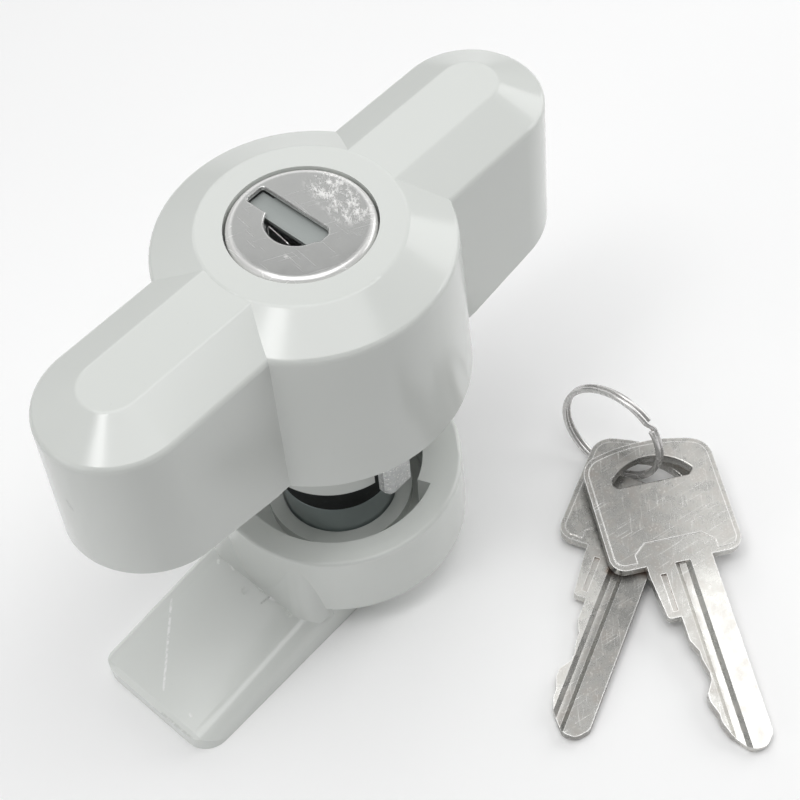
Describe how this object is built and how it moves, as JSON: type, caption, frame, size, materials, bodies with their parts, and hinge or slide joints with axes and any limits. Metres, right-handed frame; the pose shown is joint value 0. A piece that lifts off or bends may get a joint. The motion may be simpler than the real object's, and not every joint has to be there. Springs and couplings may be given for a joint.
{
  "type": "enclosure key lock",
  "caption": "Wing-handle enclosure lock with a keyed core, a neck through the door, a lever with a cup behind it, and keys on a wire ring.",
  "frame": {"origin": "on the spindle axis, in the plane of the handle's foot, which bears on the outside of the door", "axes": "+Z out of the door along the spindle, the wings along X, the lever towards -X"},
  "size_m": [0.105, 0.1113, 0.0849],
  "materials": {
    "light_plastic": "glossy, moulded",
    "grey_plastic": "satin, moulded",
    "black_rubber": "matt",
    "bright_steel": "bright, lightly scuffed",
    "grey_steel": "satin",
    "cast_zinc": "as cast",
    "key_steel": "nickel plated, lightly scratched",
    "brass": "stamped"
  },
  "bodies": {
    "door_side": {"neck_bush": "black_rubber"},
    "handle": {"handle_shell": "light_plastic", "lock_barrel": "cast_zinc", "neck": "light_plastic", "neck_screws": "bright_steel", "drive_shaft": "grey_plastic", "shaft_screw": "bright_steel", "lever": "light_plastic", "lever_washer": "bright_steel", "lever_spring_washer": "bright_steel", "lever_screw": "bright_steel"},
    "core": {"face_cap": "bright_steel", "plug": "cast_zinc", "plug_clip": "bright_steel", "wafer_springs": "bright_steel", "shutter_pin": "bright_steel", "shutter_spring": "bright_steel", "crank_driver": "cast_zinc"},
    "shutter": {"dust_shutter": "grey_steel"},
    "pawl": {"locking_pawl": "cast_zinc"},
    "ring": {"key_ring": "key_steel"},
    "front_key": {"key_front": "key_steel"},
    "rear_key": {"key_rear": "key_steel"},
    "wafer_1": {"wafer_1": "brass"},
    "wafer_2": {"wafer_2": "brass"},
    "wafer_3": {"wafer_3": "brass"},
    "wafer_4": {"wafer_4": "brass"},
    "wafer_5": {"wafer_5": "brass"}
  },
  "joints": [
    {"name": "handle_turn", "type": "hinge", "parent": "door_side", "child": "handle", "pos_m": [0, 0, 0], "axis": [0, 0, 1], "range_deg": [-90, 0]},
    {"name": "core_turn", "type": "hinge", "parent": "handle", "child": "core", "pos_m": [0, 0, 0], "axis": [0, 0, 1], "range_deg": [0, 90]},
    {"name": "pawl_slide", "type": "slide", "parent": "handle", "child": "pawl", "axis": [0, 1, 0], "range_m": [0, 0.00283]},
    {"name": "shutter_swing", "type": "hinge", "parent": "core", "child": "shutter", "pos_m": [0.00265, 0, 0.03175], "axis": [0, -1, 0], "range_deg": [0, 80], "stiffness_Nm_per_rad": 0.0002, "springref_deg": -20.05},
    {"name": "keys_lift", "type": "slide", "parent": "door_side", "child": "ring", "axis": [0, 0, 1], "range_m": [0, 0.05]},
    {"name": "front_key_swing", "type": "hinge", "parent": "ring", "child": "front_key", "pos_m": [0.0432, -0.0385, -0.046], "axis": [0, 0, 1], "range_deg": [0, 20]},
    {"name": "rear_key_swing", "type": "hinge", "parent": "ring", "child": "rear_key", "pos_m": [0.0432, -0.0385, -0.046], "axis": [0, 0, 1], "range_deg": [-20, 0]},
    {"name": "wafer_1_slide", "type": "slide", "parent": "core", "child": "wafer_1", "axis": [0, -1, 0], "range_m": [0, 0.0009]},
    {"name": "wafer_2_slide", "type": "slide", "parent": "core", "child": "wafer_2", "axis": [0, -1, 0], "range_m": [0, 0.0009]},
    {"name": "wafer_3_slide", "type": "slide", "parent": "core", "child": "wafer_3", "axis": [0, -1, 0], "range_m": [0, 0.0009]},
    {"name": "wafer_4_slide", "type": "slide", "parent": "core", "child": "wafer_4", "axis": [0, -1, 0], "range_m": [0, 0.0009]},
    {"name": "wafer_5_slide", "type": "slide", "parent": "core", "child": "wafer_5", "axis": [0, -1, 0], "range_m": [0, 0.0009]}
  ],
  "couplings": [
    {"joint": "pawl_slide", "follows": "core_turn", "m_per_rad": 0.0018}
  ]
}
